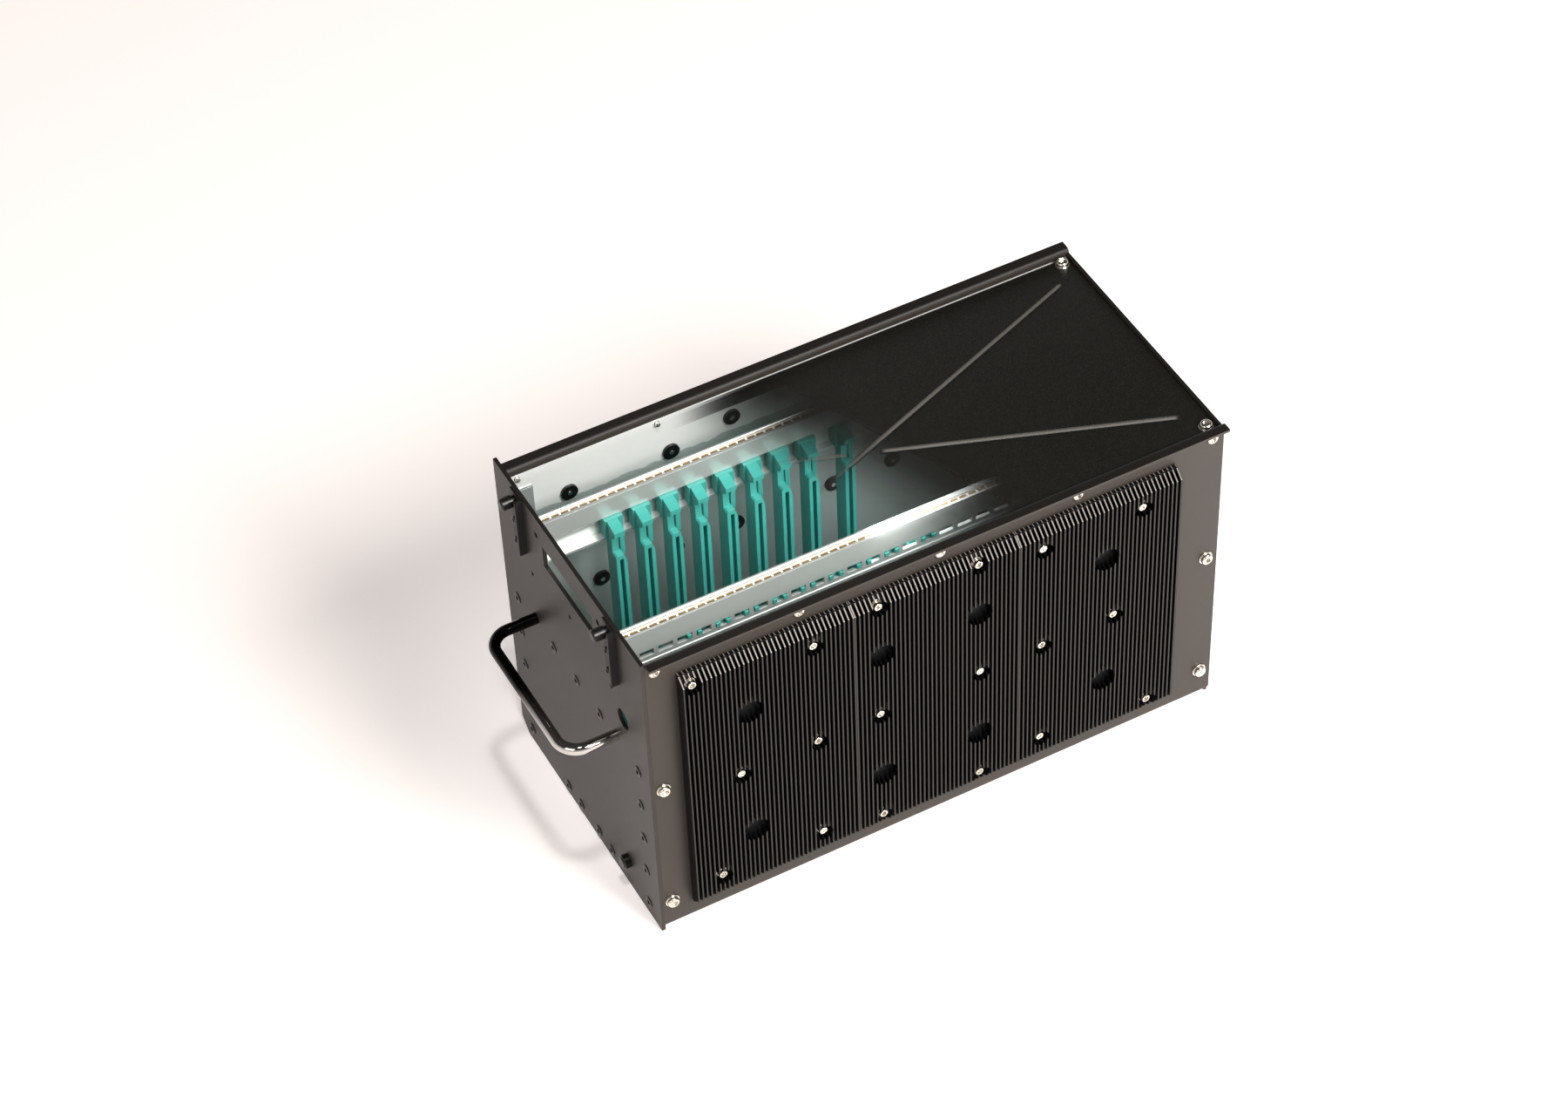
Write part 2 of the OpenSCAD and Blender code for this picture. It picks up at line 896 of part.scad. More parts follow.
// Angle bracket on the panel's upper corner: a flat leg with two screws and a leg that stands out.
module lock_bracket(y) {
    color("#232323")
        difference() {
            union() {
                translate([-mid_x - lock_t, y, lock_top - lock_h])
                    cube([lock_t, lock_w, lock_h]);
                translate([-mid_x - lock_leg, y, lock_top - lock_h])
                    cube([lock_leg, lock_leg_t, lock_h]);
            }
            for (z = lock_screw_z)
                hole_x(-mid_x - lock_t, lock_t, small_d + 2 * play, y + lock_mid, z);
            hole_x(-mid_x - lock_t, lock_t, knob_pin + 2 * play, y + lock_mid, knob_z);
        }
}

module lock_knobs() {
    color("#1b1b1b")
        for (y = lock_y)
            translate([-mid_x - lock_t, y + lock_mid, knob_z])
                rotate([0, -90, 0]) {
                    translate([0, 0, -lock_t])
                        cylinder(h = lock_t, d = knob_pin);
                    cylinder(h = knob_neck[1], d = knob_neck[0]);
                    translate([0, 0, knob_neck[1]])
                        cylinder(h = knob_body[1], d = knob_body[0]);
                    translate([0, 0, knob_neck[1] + knob_body[1]])
                        cylinder(h = knob_tip, d1 = knob_body[0], d2 = knob_body[0] - 2 * knob_tip);
                }
}

module lock_screws() {
    color("#1b1b1b")
        for (y = lock_y, z = lock_screw_z)
            translate([-mid_x - lock_t, y + lock_mid, z])
                rotate([0, -90, 0])
                    pan_screw(small_d, small_head, lock_screw_h, lock_t + panel_t);
}

// ---- subrack ----

// Section of an upper rail: the first axis runs outwards from the case's middle, the second is Z.
module rail_section() {
    back = rail_out - web_t;
    difference() {
        polygon(concat(
            [
                [rail_in, rail_top + rib], [rail_in + 2 * rib, rail_top + rib], [rail_in + 3 * rib, rail_top],
                [rail_out - 3 * rib, rail_top], [rail_out - 2 * rib, rail_top + rib], [rail_out, rail_top + rib],
            ],
            grip_rib(rail_foot + rib_high),
            grip_rib(rail_foot + rib_low),
            [[rail_out, rail_foot], [rail_in, rail_foot], [rail_in, rail_foot + lip_t],
             [back, rail_foot + lip_t], [back, rail_under], [rail_in, rail_under]]
        ));
        // Channel for the threaded strip, narrower at its mouth
        translate([strip_mid - strip_w / 2 - play, strip_low])
            square([strip_w + 2 * play, strip_t + play]);
        translate([strip_mid - strip_w / 2 + strip_lip, strip_low + strip_t])
            square([strip_w - 2 * strip_lip, strip_skin + past]);
    }
}

// Points of a small rib on a rail's outer face, from its top edge down.
function grip_rib(z) = [
    [rail_out, z + 2 * rib], [rail_out + rib, z + rib], [rail_out + rib, z], [rail_out, z - rib],
];

// Rail on one side; the lower rails are the upper ones turned over.
module rail(side, upper) {
    color("#c9ccca")
        on_level(side, upper)
            difference() {
                along_x(frame_in, rail_l)
                    rail_section();
                for (i = [0:slot_n - 1])
                    translate([frame_in + slot_start + i * slot_pitch, rail_out, slot_z])
                        cube([slot_w, 3 * web_t, slot_h], center = true);
                for (x = [frame_in - past, rear_in - rail_bore_l])
                    translate([x, rail_bore_u, rail_bore_z])
                        rotate([0, 90, 0])
                            cylinder(h = rail_bore_l + past, d = flush_d + 2 * play);
            }
}

module on_level(side, upper) {
    on_side(side)
        if (upper)
            children();
        else
            translate([0, 0, case_h])
                mirror([0, 0, 1])
                    children();
}

// Strip of threaded holes that slides into a rail's channel.
module strip(side, upper) {
    color("#b08d4a")
        on_level(side, upper)
            translate([0, strip_mid, strip_low])
                difference() {
                    translate([frame_in + gap, -strip_w / 2, 0])
                        cube([rail_l - 2 * gap, strip_w, strip_t]);
                    for (i = [0:strip_n - 1])
                        translate([strip_start + i * hole_pitch, 0, -past])
                            cylinder(h = strip_t + 2 * past, d = strip_hole, $fn = 16);
                }
}

// Outline of a card guide's channel seen along Y, mirrored about its middle height.
module guide_outline() {
    side_x = guide_w / 2;
    for (end = [0, 1])
        mirror([0, end])
            polygon([
                [-side_x, 0], [-side_x, guide_half - corner_cut], [corner_cut - side_x, guide_half],
                [side_x - shoulder_w, guide_half], [side_x, guide_half - shoulder_h], [side_x, 0],
            ]);
}

// Channel of a card guide with its groove, which stops short of the ends.
module guide_channel() {
    groove_half = guide_half - groove_end;
    difference() {
        translate([guide_shift, rail_in, mid_z])
            rotate([90, 0, 0])
                linear_extrude(guide_d)
                    guide_outline();
        translate([guide_shift - groove_w / 2, guide_face - past, mid_z - groove_half])
            cube([groove_w, groove_d + past, 2 * groove_half]);
    }
}

// Clip at the upper end of a card guide: neck, sloped head, spring arm and the block held by the rail.
module guide_clip() {
    left = guide_shift - guide_w / 2;
    translate([left, guide_face + neck_in, mid_z + guide_half - past])
        cube([neck_w, guide_d - neck_in, guide_top - clip_h - mid_z - guide_half + 2 * past]);
    translate([left, 0, 0])
        rotate([90, 0, 90])
            linear_extrude(guide_w)
                polygon([
                    [rail_in, guide_top], [guide_face, guide_top - clip_slope],
                    [guide_face, guide_top - clip_slope - clip_tip],
                    [guide_face + clip_cut, guide_top - clip_h], [rail_in, guide_top - clip_h],
                ]);
    translate([-guide_head / 2, rail_in - arm_t, guide_top - clip_h])
        cube([guide_head, arm_t, clip_h]);
    translate([guide_head / 2 - arm_w, rail_in - arm_t, guide_top - arm_l])
        cube([arm_w, arm_t, arm_l]);
    translate([-guide_head / 2, rail_in - arm_t, guide_low])
        cube([guide_head, rail_w - web_t - gap + arm_t, guide_top - guide_low]);
    for (x = [-hook_x, hook_x])
        translate([x - hook_w / 2, rail_in, slot_z - hook_h / 2])
            cube([hook_w, rail_w + hook_out, hook_h]);
}

module card_guide(side, index) {
    color("#1f9a88")
        on_side(side)
            translate([guide_x(index), 0, 0]) {
                guide_channel();
                for (upper = [true, false])
                    on_level(1, upper)
                        guide_clip();
            }
}

// Ends of the four rails, at the given X.
module each_rail_end(x) {
    for (side = [-1, 1], z = [rail_bore_z, case_h - rail_bore_z])
        translate([x, side * rail_bore_u, z])
            children();
}

// The front ones sit flush in the inner frame, behind the front panel.
module front_rail_screws() {
    color("#1b1b1b")
        each_rail_end(panel_in)
            rotate([0, -90, 0])
                flush_screw(flush_d, flush_head, end_t + rail_grip);
}

module rear_rail_screws() {
    color("#c8c6c0")
        each_rail_end(mid_x)
            rotate([0, 90, 0])
                pan_screw(flush_d, head_d, head_h, end_t + rail_grip);
}

front_panel();
panel_frame();
rear_panel();
side_wall(-1);  // right_wall
side_wall(1);  // left_wall
top_cover();
bottom_cover();
heat_sink(-1, 0);  // right_heat_sink_1
heat_sink(-1, 1);  // right_heat_sink_2
heat_sink(-1, 2);  // right_heat_sink_3
heat_sink(1, 0);  // left_heat_sink_1
heat_sink(1, 1);  // left_heat_sink_2
heat_sink(1, 2);  // left_heat_sink_3
heat_sink_screws();
heat_sink_washers();
heat_sink_nuts();
cover_screws();
cover_washers();
edge_screws();
wall_screws();
wall_washers();
bottom_screws();
handle();
handle_screws();
panel_screws();
panel_stud();
lock_bracket(lock_y[0]);  // right_lock_bracket
lock_bracket(lock_y[1]);  // left_lock_bracket
lock_knobs();
lock_screws();
rail(-1, true);  // upper_right_rail
rail(1, true);  // upper_left_rail
rail(-1, false);  // lower_right_rail
rail(1, false);  // lower_left_rail
strip(-1, true);  // upper_right_strip
strip(1, true);  // upper_left_strip
strip(-1, false);  // lower_right_strip
strip(1, false);  // lower_left_strip
front_rail_screws();
rear_rail_screws();
card_guide(-1, 0);  // right_guide_1
card_guide(-1, 1);  // right_guide_2
card_guide(-1, 2);  // right_guide_3
card_guide(-1, 3);  // right_guide_4
card_guide(-1, 4);  // right_guide_5
card_guide(-1, 5);  // right_guide_6
card_guide(-1, 6);  // right_guide_7
card_guide(-1, 7);  // right_guide_8
card_guide(-1, 8);  // right_guide_9
card_guide(1, 0);  // left_guide_1
card_guide(1, 1);  // left_guide_2
card_guide(1, 2);  // left_guide_3
card_guide(1, 3);  // left_guide_4
card_guide(1, 4);  // left_guide_5
card_guide(1, 5);  // left_guide_6
card_guide(1, 6);  // left_guide_7
card_guide(1, 7);  // left_guide_8
card_guide(1, 8);  // left_guide_9
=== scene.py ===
import bpy
import json
import math
from mathutils import Matrix, Vector


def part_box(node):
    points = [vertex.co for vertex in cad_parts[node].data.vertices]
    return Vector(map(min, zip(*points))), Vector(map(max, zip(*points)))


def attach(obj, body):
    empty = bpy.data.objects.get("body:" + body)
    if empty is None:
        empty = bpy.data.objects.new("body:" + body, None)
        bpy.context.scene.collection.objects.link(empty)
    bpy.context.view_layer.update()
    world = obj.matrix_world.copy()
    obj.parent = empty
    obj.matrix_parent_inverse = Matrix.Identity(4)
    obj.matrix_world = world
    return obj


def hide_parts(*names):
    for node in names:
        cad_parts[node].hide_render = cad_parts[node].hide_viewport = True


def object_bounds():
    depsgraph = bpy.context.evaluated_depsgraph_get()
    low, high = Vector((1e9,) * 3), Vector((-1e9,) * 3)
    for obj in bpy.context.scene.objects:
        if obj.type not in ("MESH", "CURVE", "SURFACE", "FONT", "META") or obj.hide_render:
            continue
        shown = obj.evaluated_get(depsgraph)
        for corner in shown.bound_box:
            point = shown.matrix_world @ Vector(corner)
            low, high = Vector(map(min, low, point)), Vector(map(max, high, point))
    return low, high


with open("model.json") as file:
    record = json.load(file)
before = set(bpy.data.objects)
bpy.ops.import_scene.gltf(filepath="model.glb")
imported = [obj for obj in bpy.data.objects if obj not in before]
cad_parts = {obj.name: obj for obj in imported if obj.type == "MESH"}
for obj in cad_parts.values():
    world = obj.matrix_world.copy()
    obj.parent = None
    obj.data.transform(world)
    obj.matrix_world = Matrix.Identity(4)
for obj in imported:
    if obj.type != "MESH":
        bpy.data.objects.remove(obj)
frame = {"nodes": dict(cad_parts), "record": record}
NODES = frame["nodes"]
LOW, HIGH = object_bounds()
SCENE = bpy.context.scene
MM = 0.001

# Sizes that the finishes and the added pieces share with the solids
COVER_TOP = HIGH[2] - 4 * MM
COVER_T = 1.5 * MM
PITCH = 5.08 * MM
FIN_T = 1 * MM
FIN_N = 38


# ---- camera ----

def place_camera():
    """Looks down on the handle end and the right wall from about two metres."""
    eye = Vector((-0.67138, -1.25401, 1.6071))
    azimuth, elevation, roll = (math.radians(a) for a in (63.4863, -46.2643, -2.6194))
    data = bpy.data.cameras.new("camera")
    data.sensor_width = 36.0
    data.lens = 95.232
    data.clip_start = 0.05
    data.clip_end = 30.0
    cam = bpy.data.objects.new("camera", data)
    forward = Vector((math.cos(elevation) * math.cos(azimuth),
                      math.cos(elevation) * math.sin(azimuth), math.sin(elevation)))
    right = forward.cross(Vector((0, 0, 1))).normalized()
    up = right.cross(forward)
    right_r = right * math.cos(roll) + up * math.sin(roll)
    up_r = up * math.cos(roll) - right * math.sin(roll)
    turn = Matrix((right_r, up_r, -forward)).transposed().to_4x4()
    cam.matrix_world = Matrix.Translation(eye) @ turn
    SCENE.collection.objects.link(cam)
    SCENE.camera = cam


place_camera()


# ---- colours and nodes ----

# The nodes used most. A range maps input 0 from 1..2 to 3..4. A mix of colours has its share at
# input 0, the colours at 6 and 7 and its result at output 2.
COORDS = "ShaderNodeTexCoord"
SPLIT = "ShaderNodeSeparateXYZ"
MATH = "ShaderNodeMath"
VECTOR_MATH = "ShaderNodeVectorMath"
RANGE = "ShaderNodeMapRange"
MIX = "ShaderNodeMix"
NOISE = "ShaderNodeTexNoise"
BEVEL = "ShaderNodeBevel"
BUMP = "ShaderNodeBump"


def linear(text):
    """Linear colour with alpha 1 from an sRGB hex string."""
    out = []
    for i in (1, 3, 5):
        c = int(text[i:i + 2], 16) / 255
        out.append(c / 12.92 if c <= 0.04045 else ((c + 0.055) / 1.055) ** 2.4)
    return (*out, 1.0)


def add(tree, kind, inputs=None, **settings):
    """Adds a node with its settings, sets or joins its inputs by index or name, gives its outputs."""
    node = tree.nodes.new(kind)
    for key, value in settings.items():
        setattr(node, key, value)
    for key, value in (inputs or {}).items():
        if isinstance(value, bpy.types.NodeSocket):
            tree.links.new(value, node.inputs[key])
        else:
            node.inputs[key].default_value = value
    return node.outputs


def new_finish(name):
    """Material with an empty node tree."""
    mat = bpy.data.materials.new(name)
    mat.use_nodes = True
    mat.node_tree.nodes.clear()
    return mat, mat.node_tree


def closed(mat, look):
    """The material, once a shader with these inputs is joined to its output."""
    shader = add(mat.node_tree, "ShaderNodeBsdfPrincipled", look)[0]
    add(mat.node_tree, "ShaderNodeOutputMaterial", {"Surface": shader})
    return mat


def face_at(tree):
    """Where a face is in the case, as one place and by axis, and the way it looks, by axis."""
    place = add(tree, COORDS)["Object"]
    looks = add(tree, "ShaderNodeNewGeometry")["True Normal"]
    return place, add(tree, SPLIT, {0: place}), add(tree, SPLIT, {0: looks})


# ---- powder coat ----

# The real grain is a few times finer. It is drawn this coarse so that it shows.
COAT_GRAIN = 0.455 * MM
COAT_SPECKS = 0.385 * MM
COAT_RELIEF = 0.08 * MM
COAT_EDGE = 0.3 * MM


def coat_look(tree, place, tone, rough=0.45, glint=0.3):
    """Shader inputs of powder coat: satin, with rounded edges under a fine grain."""
    edge = add(tree, BEVEL, {"Radius": COAT_EDGE}, samples=4)[0]
    grain = add(tree, NOISE, {"Vector": place, "Scale": 1 / COAT_GRAIN, "Detail": 3})["Fac"]
    relief = add(tree, BUMP, {"Height": grain, "Distance": COAT_RELIEF, "Strength": 1, "Normal": edge})[0]
    return {"Base Color": tone, "Roughness": rough, "IOR": 1.5, "Specular IOR Level": glint,
            "Normal": relief}


def coat_with_painted_floor_sheen(tree, up, level, upright):
    """Deep black on level faces, greyer on upright ones: a painted reflection of the pale floor that they
    look onto.
    """
    flat = add(tree, MATH, {0: up}, operation="ABSOLUTE")[0]
    share = add(tree, RANGE, {0: flat, 1: 0.3, 2: 0.8})[0]
    return add(tree, MIX, {0: share, 6: linear(upright), 7: linear(level)}, data_type="RGBA")[2]


def panel_coat():
    """Panels in satin black powder coat, with a painted reflection that makes their upright faces softly
    grey. The bottom cover is bare zinc inside.
    """
    zinc_top = 2.5 * MM
    mat, tree = new_finish("panel_powder_coat")
    place, at, looks = face_at(tree)
    facing_up = add(tree, MATH, {0: looks[2], 1: 0.5}, operation="GREATER_THAN")[0]
    low = add(tree, MATH, {0: at[2], 1: zinc_top}, operation="LESS_THAN")[0]
    bare = add(tree, MATH, {0: facing_up, 1: low}, operation="MULTIPLY")[0]
    # Painted reflection of the pale floor: upright faces greyer than level ones
    coat = coat_with_painted_floor_sheen(tree, looks[2], "#161210", "#2b2622")
    tone = add(tree, MIX, {0: bare, 6: coat, 7: linear("#e9edeb")}, data_type="RGBA")[2]
    return closed(mat, coat_look(tree, place, tone))


def bracket_coat():
    """Corner brackets in black powder coat: duller than the panels, with hardly any glint."""
    mat, tree = new_finish("bracket_black_finish")
    return closed(mat, coat_look(tree, add(tree, COORDS)["Object"], linear("#151413"), 0.5))


def wall_coat_and_zinc():
    """Wall sheet: satin black powder coat outside, bright zinc with a ragged masked border inside."""
    zinc_top = COVER_TOP - 0.5 * MM
    border_low, border_climb, border_wave = 160 * MM, 0.02, 6 * MM
    wave_length, cloud_size, blur = 11.1 * MM, 100 * MM, 0.2 * MM
    mat, tree = new_finish("wall_powder_coat_and_zinc")
    place, (x, y, z), looks = face_at(tree)

    side = add(tree, MATH, {0: y}, operation="SIGN")[0]
    outward = add(tree, MATH, {0: looks[1], 1: side}, operation="MULTIPLY")[0]
    inward = add(tree, MATH, {0: outward, 1: -0.5}, operation="LESS_THAN")[0]
    below = add(tree, MATH, {0: z, 1: zinc_top}, operation="LESS_THAN")[0]
    zinc = add(tree, MATH, {0: inward, 1: below}, operation="MULTIPLY")[0]

    # Ragged border between the bright band under the cover and the duller sheet below it
    drawn_up = add(tree, VECTOR_MATH, {0: place, 1: (1, 0, 0.2)}, operation="MULTIPLY")[0]
    wave = add(tree, NOISE, {"Vector": drawn_up, "Scale": 1 / wave_length, "Detail": 6})["Fac"]
    climb = add(tree, MATH, {0: x, 1: border_climb, 2: border_low}, operation="MULTIPLY_ADD")[0]
    border = add(tree, MATH, {0: wave, 1: border_wave, 2: climb}, operation="MULTIPLY_ADD")[0]
    above = add(tree, MATH, {0: z, 1: border}, operation="SUBTRACT")[0]
    band = add(tree, RANGE, {0: above, 1: -blur, 2: blur})[0]

    cloud = add(tree, NOISE, {"Vector": place, "Scale": 1 / cloud_size, "Detail": 3})["Fac"]
    dull = add(tree, MIX, {0: cloud, 6: linear("#b4bfbc"), 7: linear("#c3cdca")}, data_type="RGBA")[2]
    clean = add(tree, MIX, {0: cloud, 6: linear("#eef2f0"), 7: linear("#fafcfb")}, data_type="RGBA")[2]
    sheet = add(tree, MIX, {0: band, 6: dull, 7: clean}, data_type="RGBA")[2]
    # Outside: painted reflection of the pale floor, greyer on upright faces than on level ones
    coat = coat_with_painted_floor_sheen(tree, looks[2], "#14110f", "#342f2a")
    tone = add(tree, MIX, {0: zinc, 6: coat, 7: sheet}, data_type="RGBA")[2]
    rough = add(tree, MATH, {0: zinc, 1: -0.1, 2: 0.45}, operation="MULTIPLY_ADD")[0]
    metallic = add(tree, MATH, {0: zinc, 1: 0.35}, operation="MULTIPLY")[0]
    return closed(mat, coat_look(tree, place, tone, rough) | {"Metallic": metallic})


def cover_coat_cut_away():
    """Cover in satin black powder coat with grainy specks and a painted highlight on its beads. It thins out
    to nothing towards the handle.
    """
    fade_start, fade_end, fade_lean = -42 * MM, 34 * MM, 0.42
    mat, tree = new_finish("cover_powder_coat_cut_away")
    place = add(tree, COORDS)["Object"]
    x, y, z = add(tree, SPLIT, {0: place})
    grit = add(tree, NOISE, {"Vector": place, "Scale": 1 / COAT_SPECKS, "Detail": 2})["Fac"]
    specks = add(tree, RANGE, {0: grit, 1: 0.5, 2: 0.75, 4: 0.5})[0]
    base = add(tree, MIX, {0: specks, 6: linear("#0a0906"), 7: linear("#35322a")}, data_type="RGBA")[2]
    # Painted highlight: the raised beads get a dull grey tone, as if they caught the light
    bead = add(tree, RANGE, {0: z, 1: COVER_TOP + 0.12 * MM, 2: COVER_TOP + 0.5 * MM})[0]
    tone = add(tree, MIX, {0: bead, 6: base, 7: linear("#4e4c47")}, data_type="RGBA")[2]
    coat = add(tree, "ShaderNodeBsdfPrincipled", coat_look(tree, place, tone, 0.42, 0.45))[0]

    run = add(tree, MATH, {0: y, 1: fade_lean, 2: x}, operation="MULTIPLY_ADD")[0]
    whole = add(tree, RANGE, {0: run, 1: fade_start, 2: fade_end}, interpolation_type="SMOOTHSTEP")[0]
    clear = add(tree, "ShaderNodeBsdfTransparent")[0]
    shown = add(tree, "ShaderNodeMixShader", {0: whole, 1: clear, 2: coat})[0]
    add(tree, "ShaderNodeOutputMaterial", {"Surface": shown})
    return mat


# ---- metals and plastic ----

METAL_EDGE = 0.2 * MM
GUIDE_EDGE = 0.25 * MM
# The lines from the die and the waves of the moulded skin are drawn coarser than real, so that they show
DRAWN_LINE = 1.11 * MM
GUIDE_SKIN = 1.11 * MM


def anodised_fins():
    """Black anodised extrusion: black in the grooves, with painted highlights: a thin grey line along each
    fin's tip and a paler grey on the sloped upper ends.
    """
    slope_height = 5 * MM
    low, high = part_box("right_heat_sink_1")
    width, reach = high[0] - low[0], -low[1]
    step = (width - FIN_T) / (FIN_N - 1)
    mat, tree = new_finish("black_anodised_fins")
    _, (x, y, z), looks = face_at(tree)

    # The sinks stand side by side, so the place goes round once for each sink and then for each fin
    along = add(tree, MATH, {0: x, 1: low[0]}, operation="SUBTRACT")[0]
    in_sink = add(tree, MATH, {0: along, 1: width}, operation="MODULO")[0]
    in_fin = add(tree, MATH, {0: in_sink, 1: step}, operation="MODULO")[0]
    line = add(tree, MATH, {0: in_fin, 1: 0.5 * FIN_T, 2: 0.24 * FIN_T}, operation="COMPARE")[0]

    out = add(tree, MATH, {0: y}, operation="ABSOLUTE")[0]
    tip = add(tree, RANGE, {0: out, 1: reach - 0.45 * MM, 2: reach - 0.2 * MM})[0]
    # Painted highlight: a thin grey line along each fin's tip
    bright = add(tree, MATH, {0: line, 1: tip}, operation="MULTIPLY")[0]
    # Painted highlight: a paler grey on the sloped faces at the fins' upper ends
    upper = add(tree, MATH, {0: z, 1: high[2] - slope_height}, operation="GREATER_THAN")[0]
    upper_line = add(tree, MATH, {0: line, 1: upper}, operation="MULTIPLY")[0]
    slanted = add(tree, RANGE, {0: looks[2], 1: 0.3, 2: 0.4})[0]
    end = add(tree, MATH, {0: upper_line, 1: slanted}, operation="MULTIPLY")[0]

    black = add(tree, MIX, {0: bright, 6: linear("#080809"), 7: linear("#423f3b")}, data_type="RGBA")[2]
    tone = add(tree, MIX, {0: end, 6: black, 7: linear("#7d7872")}, data_type="RGBA")[2]
    metallic = add(tree, MATH, {0: bright, 1: 0.3, 2: 0.1}, operation="MULTIPLY_ADD")[0]
    return closed(mat, {"Base Color": tone, "Metallic": metallic, "Roughness": 0.4,
                        "Specular IOR Level": 0.12})


def yellow_strip():
    """Yellow passivated strip, worn brown and straw, with painted highlights: pale edges and a pale tick at
    every hole pitch, where the holes glint.
    """
    right_phase, left_shift = 2.1 * MM, 1.9 * MM
    half_tick, half_face, wear_size = 0.5 * MM, 1.05 * MM, 3.85 * MM
    low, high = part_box("upper_left_strip")
    middle = (low[1] + high[1]) / 2
    # Whole pitches that keep the place positive along the case
    spare = 60 * PITCH
    mat, tree = new_finish("yellow_passivated_strip")
    place = add(tree, COORDS)["Object"]
    x, y = add(tree, SPLIT, {0: place})[:2]

    # The left strips' holes stand a little further along than the right ones'
    left = add(tree, MATH, {0: y, 1: 0}, operation="GREATER_THAN")[0]
    phase = add(tree, MATH, {0: left, 1: left_shift, 2: right_phase}, operation="MULTIPLY_ADD")[0]
    shifted = add(tree, MATH, {0: x, 1: phase}, operation="SUBTRACT")[0]
    positive = add(tree, MATH, {0: shifted, 1: 0.5 * PITCH + spare}, operation="ADD")[0]
    in_pitch = add(tree, MATH, {0: positive, 1: PITCH}, operation="MODULO")[0]
    # Painted highlight: a pale tick where each hole glints
    tick = add(tree, MATH, {0: in_pitch, 1: 0.5 * PITCH, 2: half_tick}, operation="COMPARE")[0]

    out = add(tree, MATH, {0: y}, operation="ABSOLUTE")[0]
    aside = add(tree, MATH, {0: out, 1: middle}, operation="SUBTRACT")[0]
    away = add(tree, MATH, {0: aside}, operation="ABSOLUTE")[0]
    edge = add(tree, MATH, {0: away, 1: half_face}, operation="GREATER_THAN")[0]
    # Painted highlight: near-white glints along the edges and at each hole
    pale = add(tree, MATH, {0: tick, 1: edge}, operation="MAXIMUM")[0]

    blotch = add(tree, NOISE, {"Vector": place, "Scale": 1 / wear_size, "Detail": 3})["Fac"]
    wear = add(tree, MIX, {0: blotch, 6: linear("#6e5230"), 7: linear("#a88d60")}, data_type="RGBA")[2]
    tone = add(tree, MIX, {0: pale, 6: wear, 7: linear("#fffdf6")}, data_type="RGBA")[2]
    metallic = add(tree, MATH, {0: pale, 1: -0.4, 2: 0.4}, operation="MULTIPLY_ADD")[0]
    return closed(mat, {"Base Color": tone, "Metallic": metallic, "Roughness": 0.35})


def metal(name, tone, rough, metallic=1.0):
    """Bare or plated metal with softened edges."""
    mat, tree = new_finish(name)
    edge = add(tree, BEVEL, {"Radius": METAL_EDGE}, samples=4)[0]
    return closed(mat, {"Base Color": linear(tone), "Metallic": metallic, "Roughness": rough,
                        "Normal": edge})


def rail_extrusion():
    """Passivated aluminium: pale and cool, with faint lines from the die running along it."""
    mat, tree = new_finish("passivated_rail_extrusion")
    edge = add(tree, BEVEL, {"Radius": METAL_EDGE}, samples=4)[0]
    place = add(tree, COORDS)["Object"]
    # Fifty times as long as wide
    drawn_out = add(tree, VECTOR_MATH, {0: place, 1: (0.02, 1, 1)}, operation="MULTIPLY")[0]
    lines = add(tree, NOISE, {"Vector": drawn_out, "Scale": 1 / DRAWN_LINE, "Detail": 2})["Fac"]
    rough = add(tree, RANGE, {0: lines, 1: 0.3, 2: 0.7, 3: 0.28, 4: 0.33})[0]
    return closed(mat, {"Base Color": linear("#c6ccc9"), "Metallic": 0.5, "Roughness": rough,
                        "Normal": edge})


def black_chrome():
    """Black chromed bar: nearly black, with a painted reflection that turns its metal pale towards the right
    wall, so that the bend there is a bright mirror.
    """
    mat, tree = new_finish("black_chrome_bar")
    y = add(tree, SPLIT, {0: add(tree, COORDS)["Object"]})[1]
    # Painted reflection: the metal's tone runs from dark to pale towards the right wall
    bend = add(tree, RANGE, {0: y, 1: 10 * MM, 2: -30 * MM})[0]
    tone = add(tree, MIX, {0: bend, 6: linear("#2a2827"), 7: linear("#c4c0bb")}, data_type="RGBA")[2]
    return closed(mat, {"Base Color": tone, "Metallic": 1.0, "Roughness": 0.07})


def moulded_green():
    """Moulded green plastic: smooth, slightly glossy, with light passing the thin edges."""
    mat, tree = new_finish("moulded_green_plastic")
    place = add(tree, COORDS)["Object"]
    edge = add(tree, BEVEL, {"Radius": GUIDE_EDGE}, samples=4)[0]
    skin = add(tree, NOISE, {"Vector": place, "Scale": 1 / GUIDE_SKIN, "Detail": 2})["Fac"]
    relief = add(tree, BUMP, {"Height": skin, "Distance": 0.02 * MM, "Strength": 1, "Normal": edge})[0]
    return closed(mat, {"Base Color": linear("#3f9e95"), "Roughness": 0.35, "IOR": 1.49,
                        "Subsurface Weight": 0.1, "Subsurface Radius": (1 * MM, 2 * MM, 2 * MM),
                        "Subsurface Scale": 0.5, "Normal": relief})


